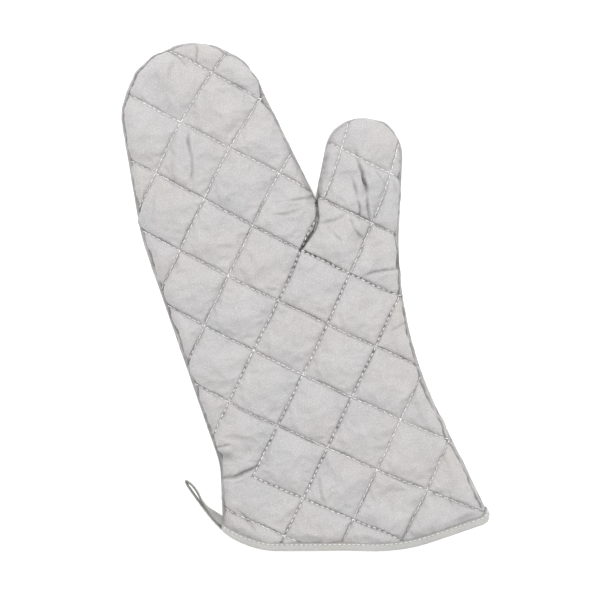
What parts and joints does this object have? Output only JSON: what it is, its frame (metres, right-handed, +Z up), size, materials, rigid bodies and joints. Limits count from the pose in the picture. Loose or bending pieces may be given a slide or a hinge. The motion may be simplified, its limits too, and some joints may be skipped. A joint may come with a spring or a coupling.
{
  "type": "oven mitt",
  "caption": "Long quilted oven mitt of silver coated cloth with a padded lining, a bound cuff and a hanging loop, lying flat; fingers, thumb and loop fold.",
  "frame": {"origin": "on the resting plane, under the middle of the mitt's bounding box", "axes": "+Z up from the resting face to the palm side, +Y towards the fingertips, +X towards the thumb"},
  "size_m": [0.2677, 0.3644, 0.026],
  "materials": {
    "coated_cloth": "silver-grey coated cloth with a fine weave and a soft sheen",
    "batting": "fluffy off-white insulation",
    "lining_cotton": "matt woven cotton",
    "thread": "light grey sewing thread",
    "binding_tape": "silver-grey coated tape, folded"
  },
  "bodies": {
    "palm_section": {"front_shell_palm": "coated_cloth", "front_batting_palm": "batting", "front_lining_palm": "lining_cotton", "front_needle_thread_palm": "thread", "front_bobbin_thread_palm": "thread", "back_shell_palm": "coated_cloth", "back_batting_palm": "batting", "back_lining_palm": "lining_cotton", "back_needle_thread_palm": "thread", "back_bobbin_thread_palm": "thread", "side_seam_thread_palm": "thread", "cuff_binding": "binding_tape", "binding_topstitch": "thread"},
    "finger_section": {"front_shell_fingers": "coated_cloth", "front_batting_fingers": "batting", "front_lining_fingers": "lining_cotton", "front_needle_thread_fingers": "thread", "front_bobbin_thread_fingers": "thread", "back_shell_fingers": "coated_cloth", "back_batting_fingers": "batting", "back_lining_fingers": "lining_cotton", "back_needle_thread_fingers": "thread", "back_bobbin_thread_fingers": "thread", "side_seam_thread_fingers": "thread"},
    "thumb_section": {"front_shell_thumb": "coated_cloth", "front_batting_thumb": "batting", "front_lining_thumb": "lining_cotton", "front_needle_thread_thumb": "thread", "front_bobbin_thread_thumb": "thread", "back_shell_thumb": "coated_cloth", "back_batting_thumb": "batting", "back_lining_thumb": "lining_cotton", "back_needle_thread_thumb": "thread", "back_bobbin_thread_thumb": "thread", "side_seam_thread_thumb": "thread"},
    "loop": {"hanging_loop": "binding_tape", "loop_stitching": "thread"}
  },
  "joints": [
    {"name": "finger_fold", "type": "hinge", "parent": "palm_section", "child": "finger_section", "pos_m": [0.0069, 0.0712, 0.02605], "axis": [0.9434, 0.3318, 0], "range_deg": [0, 70]},
    {"name": "thumb_fold", "type": "hinge", "parent": "palm_section", "child": "thumb_section", "pos_m": [0.0069, 0.0712, 0.02605], "axis": [0.6766, -0.7364, 0], "range_deg": [0, 60]},
    {"name": "loop_swing", "type": "hinge", "parent": "palm_section", "child": "loop", "pos_m": [-0.0662, -0.165, 0.01], "axis": [0, 0, 1], "range_deg": [-30, 90]}
  ]
}
